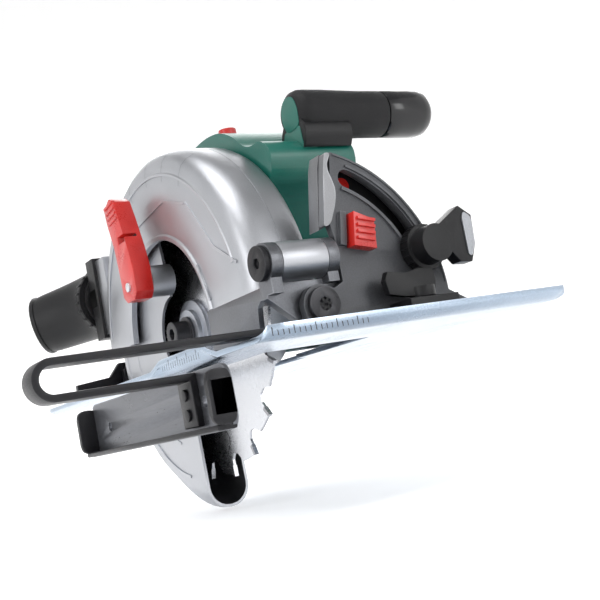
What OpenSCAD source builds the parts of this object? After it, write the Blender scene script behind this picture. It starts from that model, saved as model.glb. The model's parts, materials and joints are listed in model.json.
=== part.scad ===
// Hand circular saw for a 160 mm blade, with a tilting front bracket,
// a pendulum guard, a transverse motor and a hairpin parallel guide.
// +X is the cutting direction, +Y the saw's left, +Z up.
// The origin is the centre of the sole's underside.

/* [Blade] */
// Diameter of the saw blade
blade_d = 160; // [158:0.5:160]
// Bore of the saw blade
blade_bore_d = 20; // [20:0.5:20]
// Number of teeth on the blade
teeth = 18; // [12:1:24]
// Thickness of the blade body
blade_t = 1.4; // [1.2:0.1:1.4]
// Width of the carbide tips
kerf = 2.2; // [1.8:0.1:2.4]

/* [Sole] */
// Length of the sole
sole_l = 286; // [280:1:292]
// Width of the sole
sole_w = 166; // [164:1:170]
// Thickness of the sole sheet
sole_t = 2.5; // [2:0.25:2.5]
// Height of the turned-up front edge
lip_h = 6; // [3:0.5:7]

/* [Cutting position] */
// Height of the arbor over the sole's underside at full depth
arbor_z = 25; // [25:0.1:25.5]
// Position of the arbor along the sole
arbor_x = -13; // [-14:0.5:-12]
// Sideways position of the blade body's middle
blade_y = -34.3; // [-34.4:0.1:-34.2]

/* [Guards] */
// Outer radius of the fixed upper guard
guard_r = 97; // [96:0.5:98]
// Outer radius of the pendulum guard
pendulum_r = 83.5; // [83:0.25:84]

/* [Drive] */
// Gear module
gear_m = 1; // [1:0.1:1]
// Teeth on the spindle gear
gear_z = 38; // [38:1:38]
// Teeth on the motor pinion
pinion_z = 8; // [8:1:8]
// Outer radius of the motor housing
motor_r = 41; // [40:0.5:41]

/* [Handles] */
// Radius of the transverse front grip
grip_r = 13; // [11:0.5:14]
// Left end of the front grip
grip_end_y = 92; // [84:1:96]

/* [Parallel guide] */
// Width of the guide strip
strip_w = 13; // [11:0.5:14]
// Thickness of the guide strip
strip_t = 3; // [2.5:0.25:3.25]
// Length of the fence plate
fence_l = 150; // [120:1:160]
// Height of the fence plate
fence_h = 25; // [20:1:30]

/* [Hidden] */
$fn = 96;
ax = arbor_x; az = arbor_z; by = blade_y;
by0 = by - blade_t/2; by1 = by + blade_t/2;
lx = 5; ly = -4;                         // spindle lock
gd = gear_m*(gear_z + pinion_z)/2;      // centre distance
mx = ax + 6; mz = az + sqrt(gd*gd - 36); // motor axis
py = -28; pz = 16;                       // bevel axis
hx = 97; hz = 38;                        // depth hinge axis
qa = 19;                                 // clamp bolt's angle at 0 degrees bevel
qr = 63;                                 // radius of the bevel slot
dr = 175; da = 177;                      // depth arc radius, bolt's angle at full depth
sx = 110;                                // middle of the guide strip
fy = -102;                               // outer face of the fence
wy = 22;                                 // wing screw
strip_z = 4.6;                           // underside of the upper run
low_z = strip_z - 13.6;                  // underside of the lower run

// Cylinder along +Y
module ycyl(r, y0, y1, x, z) translate([x, y0, z]) rotate([-90, 0, 0]) cylinder(r = r, h = y1 - y0);
// Cylinder along +X
module xcyl(r, x0, x1, y, z) translate([x0, y, z]) rotate([0, 90, 0]) cylinder(r = r, h = x1 - x0);
module zcyl(r, z0, z1, x, y) translate([x, y, z0]) cylinder(r = r, h = z1 - z0);
// Outline in Y and Z, extruded along X
module yz(x0, x1) translate([x0, 0, 0]) rotate([90, 0, 90]) linear_extrude(x1 - x0) children();
// Outline in X and Z, extruded along Y
module xz(y0, y1) translate([0, y1, 0]) rotate([90, 0, 0]) linear_extrude(y1 - y0) children();
module bx(x0, x1, y0, y1, z0, z1) translate([x0, y0, z0]) cube([x1 - x0, y1 - y0, z1 - z0]);
// Solid of revolution about a Y axis, from an outline of radius and y
module yrev(x, z) translate([x, 0, z]) rotate([-90, 0, 0]) rotate_extrude() children();
function pol(r, a, cx = 0, cz = 0) = [cx + r*cos(a), cz + r*sin(a)];
function arc(r, a0, a1, n, cx = 0, cz = 0) = [for (i = [0:n]) pol(r, a0 + (a1 - a0)*i/n, cx, cz)];
// Flat ring sector
module sector(r0, r1, a0, a1) polygon(concat(arc(r1, a0, a1, 24), arc(r0, a1, a0, 24)));
module slot_arc(r, w, a0, a1) {
  intersection() {
    difference() { circle(r + w/2); circle(r - w/2); }
    polygon(concat([[0, 0]], arc(r*1.6, a0, a1, 4)));
  }
  translate(pol(r, a0)) circle(w/2);
  translate(pol(r, a1)) circle(w/2);
}
module rrect(x0, y0, x1, y1, r) {
  difference() {
    polygon([[x0, y0], [x1, y0], [x1, y1], [x0, y1]]);
    for (c = [[x0, y0, 1, 1], [x1, y0, -1, 1], [x1, y1, -1, -1], [x0, y1, 1, -1]])
      difference() {
        translate([c[0] - (c[2] < 0 ? r : 1), c[1] - (c[3] < 0 ? r : 1)]) square(r + 1);
        translate([c[0] + c[2]*r, c[1] + c[3]*r]) circle(r);
      }
  }
}

// ---------- sole and what stands on it ----------
module sole_plate() color("lightsteelblue") {
  hl = sole_l/2; hw = sole_w/2;
  difference() {
    union() {
      linear_extrude(sole_t) rrect(-hl, -hw, hl, hw, 9);
      // turned-up front edge, left edge and right edge
      bx(hl - 2.2, hl, -hw + 9, hw - 9, 0, lip_h);
      bx(-hl + 12, hl - 9, hw - 2.2, hw, 0, 4);
      bx(-hl + 12, 30, -hw, -hw + 2.2, 0, 4.2);
      xz(-hw, -hw + 2.2) polygon([[28, 0], [94, 0], [94, 3.4], [88, 7.4], [42, 8], [30, 4.2], [28, 4.2]]);
    }
    // blade slot, and its wider part under the gear case
    translate([0, 0, -1]) linear_extrude(9) rrect(-114, -53, 87, 4, 4);
    translate([0, 0, -1]) linear_extrude(9) rrect(-44, -10, 18, 10.5, 4);
    // 0 and 45 degree sight notches at the front
    bx(hl - 7, hl + 1, by - 1.5, by + 1.5, -1, 8);
    bx(hl - 7, hl + 1, -21.5, -18.5, -1, 8);
    // fixing holes
    zcyl(2.6, -1, 9, 76, 14); zcyl(2.6, -1, 9, -60, 56); zcyl(2.6, -1, 9, 76, 62);
  }
  // stiffening beads
  for (b = [[-100, 34, 50], [-100, 50, 84], [-100, 66, 60]]) bx(b[0], b[2], b[1] - 3, b[1] + 3, sole_t, sole_t + 1.4);
}
module bevel_quadrant() color([0.16, 0.17, 0.18]) difference() {
  union() {
    // front plate with the arc slot
    yz(97.2, 101.5) difference() {
      union() {
        translate([py, pz]) polygon(concat([[-9, 2], [-9, -13.5], [86, -13.5], [86, -7]], arc(73, 0, 74, 24), [[12.5, 36], [13.5, 30], [13.3, 9.4], [8.5, 7], [0, 8], [-7, 4]]));
        translate([py, pz]) circle(9.5);
      }
      translate([py, pz]) slot_arc(qr, 8.6, qa - 1, qa + 46.5);
      polygon([[-5.2, 43.2], [2.2, 41.6], [4, 50.4], [-3.8, 52.2]]);
      translate([0, -98]) square([200, 200], center = true);
    }
    // deep side wall on the blade side, arched foot
    yz(89, 97.3) translate([py, pz]) polygon([pol(72.2, 73.2), pol(69.5, 74.2), [11.6, 35.6], [8.6, 34.6], [14.5, 64], pol(72.2, 76.6)]);
    yz(91, 97.3) translate([py, pz]) sector(70.9, 72.7, 22, 74.6);
    // foot flange on the sole
    bx(97.2, 101.5, -37, 62, sole_t, 6.5);
    bx(88, 97.4, 38, 57, sole_t, 5.2);
    // guide for the bevel stop
    yz(101.4, 104) polygon([[-13.4, 42], [-10.2, 41.4], [-7.2, 57], [-10.2, 57.6]]);
  }
  xcyl(4.6, 90, 106, py, pz);
  zcyl(2.1, 0, 8, 92.5, 48);
}
module rear_bevel_bracket() color([0.13, 0.13, 0.14]) difference() {
  union() {
    yz(-131, -127) polygon([[-66, sole_t], [-4, sole_t], [-6, 12], [-19, 25], [-37, 25], [-44, 17], [-66, 15]]);
    bx(-131, -118, -66, -54, sole_t, 5);
    bx(-131, -118, 4, -4 + 16, sole_t, 5);
    bx(-131, -127, -5, 12, sole_t, 5);
  }
  xcyl(4.05, -140, -120, py, pz);
}
module bevel_pins() color("silver") {
  difference() { union() { xcyl(4.6, 88.5, 101.5, py, pz); xcyl(8, 101.5, 104.5, py, pz); }
    translate([103, py, pz]) rotate([0, 90, 0]) cylinder(r = 3, h = 4, $fn = 6); }
  xcyl(4.05, -131, -117.5, py, pz); xcyl(7, -134, -131, py, pz);
}
module sole_rivets() color("gainsboro") {
  for (p = [[-123, -60], [-123, 8]]) zcyl(3, 5, 6.6, p[0], p[1]);
  zcyl(3, 5.2, 6.6, 92.5, 50); zcyl(3.6, sole_t, 4.2, 82, -66);
}
module guide_clamp_block() color([0.12, 0.12, 0.13]) difference() {
  // bridge over the strip with the wing screw's thread
  bx(101.7, 118.4, wy - 14, wy + 14, sole_t, 12);
  bx(sx - strip_w/2 - 0.25, sx + strip_w/2 + 0.25, -20, 60, 0, strip_z + strip_t + 0.25);
  zcyl(3.02, 6, 20, sx, wy);
}
module guide_wing_screw() color([0.1, 0.1, 0.11]) {
  zcyl(3, strip_z + strip_t + 0.4, 14, sx, wy);
  zcyl(6, 12.6, 17.5, sx, wy);
  yz(sx - 1.8, sx + 1.8) polygon([[wy - 6, 13.5], [wy + 5.9, 13.5], [wy + 7.6, 20], [wy + 7, 25.5], [wy - 1, 26.2], [wy - 9, 24.5], [wy - 19, 26], [wy - 21, 22], [wy - 20, 15.6], [wy - 12, 14]]);
}
module guide_strip() color([0.1, 0.1, 0.11]) {
  x0 = sx - strip_w/2; x1 = sx + strip_w/2; ro = (strip_z + strip_t - low_z)/2; cz = (strip_z + strip_t + low_z)/2;
  yb = -158;
  // upper run, with the slot-shaped left end
  difference() {
    bx(x0, x1, yb, 64, strip_z, strip_z + strip_t);
    bx(x0 + 3.2, x1 - 3.2, 44, 60, 0, 20);
  }
  // hairpin bend
  difference() {
    xcyl(ro, x0, x1, yb, cz);
    xcyl(ro - strip_t, x0 - 1, x1 + 1, yb, cz);
    bx(x0 - 1, x1 + 1, yb, yb + 40, -40, 40);
  }
  // lower run, turned down along the fence
  bx(x0, x1, yb, fy, low_z, low_z + strip_t);
  bx(x0, x1, fy - strip_t, fy, low_z - 18, low_z + 0.1);
}
module guide_fence() color([0.55, 0.58, 0.62]) {
  zt = low_z + strip_t + 0.6; xa = sx - 118; xb = xa + fence_l;
  difference() {
    union() {
      translate([0, fy + 2, 0]) rotate([90, 0, 0]) linear_extrude(2) rrect(xa, zt - fence_h, xb, zt, 6);
      // turned rims at both ends and along the foot
      bx(xb - 2, xb, fy - 7, fy + 2, zt - fence_h + 6, zt - 6);
      bx(xa, xa + 2, fy - 5, fy + 2, zt - fence_h + 6, zt - 6);
      bx(xa + 6, xb - 6, fy - 5, fy + 2, zt - fence_h, zt - fence_h + 2);
    }
    for (x = [xa + 22, xb - 22]) ycyl(2.2, fy - 3, fy + 5, x, zt - fence_h/2);
  }
}
module fence_rivets() color("dimgray") for (z = [low_z - 5, low_z - 13]) ycyl(2.4, fy - strip_t - 1.2, fy - strip_t, sx, z);
module bevel_stop_slider() color([0.8, 0.1, 0.08]) {
  yz(97.6, 101.7) polygon([[-4.4, 44], [1.6, 42.6], [2.8, 48], [-3.2, 49.6]]);
  yz(101.6, 108) polygon([[-8.9, 40.4], [3.0, 38], [4.4, 51.6], [-5.9, 56]]);
  for (i = [0:3]) yz(107.9, 109.4) translate([-7.0 + i*0.6, 43.1 + i*3.0]) rotate(-11) square([9.4, 1.4]);
}

// ---------- tilting frame ----------
module tilt_bracket() color([0.26, 0.27, 0.29]) difference() {
  union() {
    yz(91, 96.2) union() {
      polygon([[-52, 22.4], [-46, 17.5], [-36.5, 9.5], [-28, 7], [-19.5, 7], [-10, 12], [10, 24], [28, 29.8], [38, 36], [36, 45], [27, 44.6], [0, 28.6], [-52, 28.6]]);
      translate([py, pz]) circle(9.4);
      translate(pol(qr, qa, py, pz)) circle(7);
    }
    // lugs of the depth hinge
    for (y = [[-52, -46.3], [-22.2, -16.5]]) difference() {
      union() { ycyl(9, y[0], y[1], hx, hz); bx(hx - 6, hx + 5, y[0], y[1], 28, 34); }
    }
    bx(91, 102, -52, -46.3, 23.5, 28.7); bx(91, 102, -22.2, -16.5, 26, 28.7);
    // cheek beside the blade slot
    xz(-51.8, -49) polygon([[36, 9], [40, 5], [80, 5], [83.5, 9], [85.5, 20], [89, 22.6], [94, 22.6], [94, 28.2], [36, 28.2]]);
  }
  xcyl(4.65, 80, 110, py, pz);
  ycyl(4, -60, -10, hx, hz);
  xcyl(4, 85, 110, py + qr*cos(qa), pz + qr*sin(qa));
}
module depth_hinge_pin() color([0.15, 0.15, 0.16]) {
  difference() { union() { ycyl(4, -52, -16.5, hx, hz); ycyl(8, -55, -52, hx, hz); }
    translate([hx, -56, hz]) rotate([-90, 0, 0]) cylinder(r = 2.6, h = 3, $fn = 6); }
}
module depth_arc() color([0.3, 0.3, 0.31]) {
  difference() {
    xz(-13, -10) difference() {
      union() {
        translate([hx, hz]) sector(dr - 8, dr + 8, 151.5, 181);
        polygon([[-125, 8], [-88, 8], [-72, 22], [-70, 44], [-86, 44], [-94, 30], [-112, 24.5], [-125, 24.5]]);
      }
      translate([hx, hz]) slot_arc(dr, 6.8, 154.6, 177.6);
    }
  }
  difference() {
    union() { yz(-125, -120.5) polygon([[-10, 8], [-10, 24.5], [-20, 25], [-37, 20], [-37, 12], [-34, 8]]); xcyl(9, -125, -120.5, py, pz); }
    xcyl(4.1, -140, -110, py, pz);
  }
}
module bevel_clamp_bolt() color("silver") {
  y = py + qr*cos(qa); z = pz + qr*sin(qa);
  xcyl(4, 91, 112, y, z);
}
module bevel_clamp_lever() color([0.1, 0.1, 0.11]) {
  y = py + qr*cos(qa); z = pz + qr*sin(qa);
  difference() {
    union() {
      xcyl(11, 102, 108, y, z); xcyl(9, 108, 117, y, z);
      yz(108, 115) polygon([[y + 3, z + 8], [y + 18, z + 17], [y + 25, z + 12], [y + 24, z - 2], [y + 20, z - 10.5], [y + 13, z - 10], [y + 8, z - 4]]);
    }
    xcyl(4.05, 100, 112.02, y, z);
  }
}

// ---------- saw head ----------
module upper_guard() color([0.72, 0.73, 0.75]) difference() {
  union() {
    yrev(ax, az) polygon([[0, -50.5], [86, -50.5], [90.5, -49.5], [94, -46.8], [96.2, -42.8], [guard_r, -38], [guard_r, -20.5], [95.7, -17.2], [92.5, -15.5], [0, -15.5]]);
    // hinge barrel and its two arms
    ycyl(9, -46, -22.5, hx, hz);
    bx(79, 97, -46, -22.5, 31, 45);
    // mount of the dust adaptor
    bx(ax - 99, ax - 86, -47, -20.5, 42, 88);
  }
  yrev(ax, az) polygon([[0, -48], [85, -48], [89.5, -46.8], [92.4, -43.5], [93.5, -38.5], [93.5, -18], [0, -18]]);
  bx(-200, 90, -60, 0, -100, 28.5);
  bx(-200, hx - 17, -60, 0, -100, 28.5);
  // window round the arbor
  ycyl(50, -60, -40, ax, az);
  ycyl(20, -20, -10, ax, az);
  ycyl(4.05, -60, 0, hx, hz);
  // chip port
  bx(ax - 110, ax - 80, -42, -24, 48, 82);
  // clamp bolt hole
  ycyl(3, -30, -10, pol(dr, da, hx, hz)[0], pol(dr, da, hx, hz)[1]);
}
module case_outline() intersection() {
  union() { translate([ax, az]) circle(24); translate([mx, mz]) circle(motor_r); }
  translate([-200, 1.2]) square([400, 300]);
}
module gear_case() color([0.6, 0.61, 0.63]) difference() {
  union() {
    xz(-15.5, 8) case_outline();
    ycyl(20, -27, -15.5, ax, az);
  }
  ycyl(16, -30, -17.4, ax, az);          // front bearing seat
  ycyl(8.4, -18, -10, ax, az);
  ycyl(20.8, -12.5, 4.5, ax, az);        // gear cavity
  ycyl(6.6, -12.5, 9, mx, mz);           // pinion cavity
  ycyl(11, 4.4, 9, ax, az);              // rear bearing seat
  ycyl(11, 4.5, 9, mx, mz);
  zcyl(2.06, az + 8, 95, lx, ly);         // guide of the spindle lock
}
module guard_retaining_ring() color("gray") difference() { ycyl(23.5, -26, -24.3, ax, az); ycyl(20, -30, -20, ax, az); }
module guard_spring() color("gray") for (y = [-20.9, -19.3]) translate([0, y, 0]) yrev(ax, az) translate([22.4, 0]) circle(0.75, $fn = 24);
module spindle_bearings() color("silver") {
  difference() { ycyl(16, -26.4, -17.4, ax, az); ycyl(7.53, -30, -10, ax, az); }
  difference() { ycyl(11, 4.5, 8, ax, az); ycyl(7.53, 0, 10, ax, az); }
}
module motor_housing() color([0.03, 0.3, 0.24]) difference() {
  union() {
    ycyl(motor_r, 8, 78, mx, mz);
    // block over the gear case that carries both handles
    xz(-15.3, 36) difference() {
      polygon([[-46, 66], [-46, 112], [-40, 122], [-28, 127], [0, 128.5], [16, 126], [30, 118], [42, 106], [56, 108], [63, 100], [60, 88], [46, 80], [36, 64], [30, 56]]);
    }
  }
  ycyl(38, 11.5, 79, mx, mz);
  ycyl(motor_r + 0.02, -16, 8, mx, mz);
  ycyl(11, 4, 12, mx, mz);
  ycyl(14, 7, 10, ax, az - 3);
  // hollow of the upper block
  xz(-12, 33) polygon([[-40, 92], [-41, 110], [-36, 118], [-26, 123], [0, 124.5], [14, 122], [26, 114], [34, 102], [30, 92]]);
  // vents
  for (i = [0:1]) bx(20, 50, 14 + i*8, 17.5 + i*8, 48, 60);
  for (i = [0:5]) bx(-60, -30, 20 + i*8, 23.5 + i*8, 38, 56);
  xcyl(3.5, 31, 45, 10, 110);
  zcyl(2.06, 60, 126, lx, ly); zcyl(5.1, 121, 132, lx, ly);
  // brush windows
  for (s = [-1, 1]) translate([mx, 62, mz]) rotate([0, 90*s, 0]) cylinder(r = 5.5, h = 60);
}
module motor_end_cap() color([0.09, 0.1, 0.1]) difference() {
  yrev(mx, mz) polygon([[0, 78], [motor_r, 78], [motor_r, 82], [motor_r - 2.2, 86], [motor_r - 6, 88], [0, 88]]);
  yrev(mx, mz) polygon([[0, 77], [38, 77], [38, 82], [34.5, 85], [0, 85]]);
  for (a = [0:30:330]) translate([mx + 26*cos(a), 90, mz + 26*sin(a)]) rotate([90, -a, 0]) translate([0, 0, 0]) linear_extrude(8) square([12, 3], center = true);
}
module motor_bearings() color("silver") {
  difference() { ycyl(11, 4.5, 11.5, mx, mz); ycyl(4.03, 0, 20, mx, mz); }
  difference() { union() { ycyl(8, 77, 82, mx, mz); } ycyl(4.03, 70, 90, mx, mz); }
  // bridge that carries the rear bearing
  difference() { intersection() { bx(mx - 40, mx + 40, 77, 82, mz - 4, mz + 4); ycyl(38, 70, 90, mx, mz); } ycyl(8, 70, 90, mx, mz); }
}
module stator() color([0.45, 0.3, 0.2]) difference() {
  ycyl(38, 18, 50, mx, mz); ycyl(24, 10, 60, mx, mz);
  for (s = [-1, 1]) bx(mx - 60, mx + 60, 10, 60, mz + s*36 - 3, mz + s*36 + 3);
}
module brush_holders() color("goldenrod") for (s = [-1, 1]) translate([mx, 62, mz]) rotate([0, 90*s, 0]) translate([0, 0, 12.4]) cylinder(r = 4.5, h = 24);
module brush_caps() color([0.1, 0.1, 0.1]) for (s = [-1, 1]) translate([mx, 62, mz]) rotate([0, 90*s, 0]) difference() {
  translate([0, 0, 36.5]) cylinder(r = 5.4, h = 5.3);
  translate([-6, -0.6, 40.8]) cube([12, 1.2, 3]);
}
module handle_profile() difference() {
  polygon([[-46, 126], [-62, 133], [-84, 134], [-106, 131], [-128, 122], [-143, 108], [-151, 90], [-151, 72], [-143, 56], [-128, 45], [-108, 38], [-84, 35], [-40, 34], [-40, 60], [-46.2, 66]]);
  polygon([[-56, 98], [-98, 98], [-114, 93], [-123, 82], [-122, 70], [-112, 61], [-94, 57], [-66, 57], [-56, 62]]);
  translate([mx, mz]) circle(motor_r + 0.02);
  translate([-46, 60]) square([60, 100]);
}
module handle_cavity() { polygon([[-50, 104], [-50, 122], [-62, 128], [-84, 129], [-104, 126], [-116, 121], [-110, 104]]); polygon([[-48.5, 92], [-89, 92], [-89, 106], [-48.5, 106]]); }
module handle_shell_right() color([0.03, 0.3, 0.24]) difference() {
  xz(2, 18) handle_profile();
  xz(6, 19) handle_cavity();
  xcyl(4.5, -160, -130, 18, 82);
  ycyl(2, 8, 19, -132, 100); ycyl(2, 8, 19, -100, 46);
  ycyl(2.55, 1, 19, -54, 100.8);
}
module handle_shell_left() color([0.03, 0.3, 0.24]) difference() {
  xz(18, 34) handle_profile();
  xz(17, 30) handle_cavity();
  xcyl(4.5, -160, -130, 18, 82);
  ycyl(2, 17, 40, -132, 100); ycyl(2, 17, 40, -100, 46);
  ycyl(2.55, 17, 35, -54, 100.8);
  ycyl(4.2, 20, 40, -58, 114);
}
module handle_grip() color([0.07, 0.07, 0.07]) {
  // soft pads on the handle's two sides
  for (y = [[-0.6, 2], [34, 36.6]]) xz(y[0], y[1]) polygon([[-64, 129], [-84, 131], [-105, 128], [-126, 119], [-140, 106], [-147, 90], [-147, 74], [-138, 62], [-127, 66], [-128, 84], [-117, 98], [-98, 103], [-66, 104]]);
}
module handle_screws() color("dimgray") {
  ycyl(2, 9, 33, -132, 100); ycyl(2, 9, 33, -100, 46);
}
module switch_block() color([0.15, 0.15, 0.16]) bx(-92, -66, 9, 27, 107.6, 122);
module cable_gland() color([0.08, 0.08, 0.08]) difference() {
  union() { xcyl(4.5, -158, -140, 18, 82); xcyl(8, -158, -151.1, 18, 82); xcyl(6.5, -163, -157.9, 18, 82); }
  xcyl(3.2, -170, -136, 18, 82);
}
module front_handle() color([0.03, 0.3, 0.24]) {
  difference() {
    union() {
      ycyl(grip_r, 5, 14, 55, 121);
      ycyl(6, 14, grip_end_y - 6, 55, 121);
      xz(5.4, 34) polygon([[44, 106.6], [56, 108.6], [62.8, 100.4], [67, 108], [67, 116], [46, 118], [42, 113], [42.4, 106.2]]);
    }
    difference() { ycyl(20, 14, 40, 55, 121); ycyl(6, 13, 41, 55, 121); xz(0, 36) polygon([[40, 100], [70, 100], [70, 108.1], [40, 108.1]]); }
  }
}
module front_grip() color([0.06, 0.06, 0.06]) difference() {
  ycyl(grip_r, 14, 61, 55, 121);
  ycyl(6, 10, 70, 55, 121);
  xz(13, 34.2) polygon([[40, 100], [70, 100], [70, 108.15], [40, 108.15]]);
}
module front_grip_end() color([0.05, 0.05, 0.05]) difference() {
  yrev(55, 121) polygon([[0, 61], [grip_r, 61], [grip_r, grip_end_y - 8], [grip_r - 1.6, grip_end_y - 4], [grip_r - 5, grip_end_y - 1], [5, grip_end_y], [0, grip_end_y]]);
  ycyl(6, 50, grip_end_y - 6, 55, 121);
}
module handle_plug() color([0.2, 0.42, 0.36]) difference() { xcyl(3.5, 32, 39.6, 10, 110); bx(38.6, 41, 6, 14, 109.5, 110.5); }
module dust_adaptor() color([0.09, 0.09, 0.1]) difference() {
  union() {
    bx(-124, ax - 99, -49, -19, 40, 90);
    xcyl(18, -132, -124, -35, 66);
  }
  bx(-121, -100, -43, -23, 47, 83);
  xcyl(15, -140, -115, -35, 66);
}
module dust_spout() color([0.08, 0.08, 0.09]) difference() {
  union() {
    // elbow that turns on the adaptor's collar
    translate([-126.5, -35, 66]) rotate([0, -90, 0]) rotate_extrude() polygon([[0, 0], [22, 0], [22, 11], [21, 17], [17.6, 24], [11, 29.6], [0, 31]]);
    translate([-140, -35, 66]) rotate([0, 0, 45]) rotate([0, -97, 0]) cylinder(r = 18.5, h = 46);
  }
  translate([-126.5, -35, 66]) rotate([0, -90, 0]) rotate_extrude() polygon([[0, -30], [18.08, -30], [18.08, 5.6], [15.6, 5.6], [15.6, 13], [14.6, 18], [12, 23], [7, 26.4], [0, 27]]);
  translate([-140, -35, 66]) rotate([0, 0, 45]) rotate([0, -97, 0]) cylinder(r = 15, h = 60);
  translate([-140, -35, 66]) rotate([0, 0, 45]) rotate([0, -97, 0]) translate([0, 0, 24]) cylinder(r = 16.5, h = 30);
}
module depth_clamp_bolt() color("silver") {
  p = pol(dr, da, hx, hz);
  ycyl(3, -18, -3, p[0], p[1]);
}
module depth_clamp_lever() color([0.1, 0.1, 0.1]) {
  p = pol(dr, da, hx, hz);
  difference() {
    union() {
      ycyl(8, -9.8, -2, p[0], p[1]);
      xz(-6.5, -2) polygon([[p[0] + 4, p[1] + 7], [p[0] - 16, p[1] + 36], [p[0] - 26, p[1] + 42], [p[0] - 30, p[1] + 34], [p[0] - 22, p[1] + 24], [p[0] - 7, p[1] - 2]]);
    }
    ycyl(3.04, -12, -2.98, p[0], p[1]);
  }
}

// ---------- pendulum guard ----------
module open_side() translate([ax, az]) polygon([[0, 0], pol(200, -89), [200, -200], [200, 200], pol(200, 96)]);
bpx = ax - 3; bpz = az + 30;
module pendulum_guard() color([0.7, 0.71, 0.73]) {
  difference() {
    ycyl(pendulum_r, -46, -22, ax, az);
    ycyl(pendulum_r - 1.5, -44.4, -24, ax, az);
    ycyl(21, -50, -40, ax, az);
    ycyl(20.06, -30, -20, ax, az);
    xz(-50, -10) open_side();
  }
  // hub ring on the gear case's collar
  difference() { ycyl(30, -24, -22, ax, az); ycyl(20.06, -30, -20, ax, az); }
  // ear under the lever
  difference() { ycyl(8.5, -58, -44.4, bpx, bpz); ycyl(21, -50, -40, ax, az); }
  // beak on the leading edge
  difference() {
    xz(-46, -22) translate([ax, az]) polygon([pol(83, -90), pol(94.5, -90), pol(92.4, -97), pol(83.3, -116), pol(80, -112)]);
    ycyl(pendulum_r - 1.5, -60, -10, ax, az);
    xz(-44.4, -24) translate([ax, az]) polygon([pol(82, -88), pol(92.2, -88), pol(90.5, -96.6), pol(82.5, -113)]);
  }
}
module guard_lever() color([0.82, 0.1, 0.08]) difference() {
  xz(-68, -58) translate([bpx, bpz]) polygon([[9, -6], [9.5, 6], [7, 18], [2, 34], [-2, 45], [-7, 48], [-16, 44], [-15, 36], [-11, 22], [-9.5, 6], [-9, -6], [-5, -9.5], [5, -9.5]]);
  ycyl(2.5, -70, -56, bpx, bpz - 2);
  xz(-70, -60.5) translate([bpx - 4, bpz + 22]) square([9, 4]);
}
module lever_screw() color("silver") { ycyl(2.5, -67, -58, bpx, bpz - 2); ycyl(2.5, -69, -67, bpx, bpz - 2); }

// ---------- blade spindle ----------
module spindle() color("silver") difference() { ycyl(7.5, -33.6, 7.6, ax, az); ycyl(4, -34, -18, ax, az); }
// Straight-flanked gear teeth on a disc
module gear2d(z, m, ph, tk) {
  rp = m*z/2;
  circle(rp - 1.15*m);
  for (i = [0:z - 1]) rotate(ph + i*360/z) polygon([[rp - 1.3*m, -tk*1.35], [rp, -tk*0.95], [rp + 0.85*m, -tk*0.5], [rp + 0.85*m, tk*0.5], [rp, tk*0.95], [rp - 1.3*m, tk*1.35]]);
}
ga = atan2(mz - az, mx - ax);  // direction from the spindle to the motor axis
module drive_gear() color("darkgray") difference() {
  xz(-8, 0) translate([ax, az]) gear2d(gear_z, gear_m, ga, 0.52*gear_m);
  ycyl(7.5, -20, 10, ax, az);
}
module inner_flange() color("gray") {
  difference() { ycyl(17, by1, -29, ax, az); ycyl(7.5, -40, -20, ax, az); }
  difference() { ycyl(blade_bore_d/2, by0, -33.6, ax, az); ycyl(4, -40, -20, ax, az); }
}
module saw_blade() color([0.8, 0.81, 0.83]) {
  rb = blade_d/2; st = 360/teeth; ph = -40;
  difference() {
    union() {
      xz(by0, by1) translate([ax, az]) polygon([for (i = [0:teeth - 1]) each [
        pol(rb - 0.6, ph + i*st), pol(rb - 8.5, ph + i*st + 1), pol(rb - 11, ph + i*st + 3.5), pol(rb - 9.5, ph + i*st + 7),
        pol(rb - 4, ph + i*st + 9.5), pol(rb - 3, ph + i*st + 13)]]);
      // carbide tips
      for (i = [0:teeth - 1]) xz(by - kerf/2, by + kerf/2) translate([ax, az]) rotate(ph + i*st) polygon([[rb - 5.6, 0.75], [rb, 0], [rb - 0.5, -1.6], [rb - 5.6, -1.2]]);
    }
    ycyl(blade_bore_d/2, -60, -20, ax, az);
  }
}
module outer_flange() color("gray") difference() {
  union() { ycyl(17, by0 - 2.6, by0, ax, az); ycyl(12, -40.2, by0 - 2.5, ax, az); }
  ycyl(4, -60, -20, ax, az);
}
module arbor_bolt() color([0.2, 0.2, 0.21]) difference() {
  union() { ycyl(4, -42, -18.5, ax, az); ycyl(8.5, -41.8, -40.2, ax, az); ycyl(6.5, -50, -41.8, ax, az); }
  translate([ax, -51, az]) rotate([-90, 0, 0]) cylinder(r = 3.4, h = 5, $fn = 6);
}

// ---------- motor armature ----------
module armature_shaft() color("silver") ycyl(4, 1.5, 84, mx, mz);
module pinion() color("darkgray") xz(-9, 1.5) translate([mx, mz]) gear2d(pinion_z, gear_m, ga + 180 + 180/pinion_z, 0.42*gear_m);
module armature_core() color([0.35, 0.35, 0.37]) difference() {
  ycyl(23.3, 20, 50, mx, mz); ycyl(4, 0, 90, mx, mz);
  for (a = [0:30:330]) translate([mx + 23.4*cos(a), 0, mz + 23.4*sin(a)]) ycyl(1.4, 19, 51, 0, 0);
}
module commutator() color([0.72, 0.45, 0.2]) difference() { ycyl(12, 54, 70, mx, mz); ycyl(4, 0, 90, mx, mz); }
module cooling_fan() color([0.12, 0.12, 0.12]) difference() {
  union() { ycyl(34, 12.6, 13.8, mx, mz); ycyl(9, 12.6, 17, mx, mz);
    for (a = [0:40:320]) translate([mx, 0, mz]) rotate([0, a, 0]) bx(12, 33, 13.7, 17.4, -0.7, 0.7); }
  ycyl(4, 0, 90, mx, mz);
}

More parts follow.
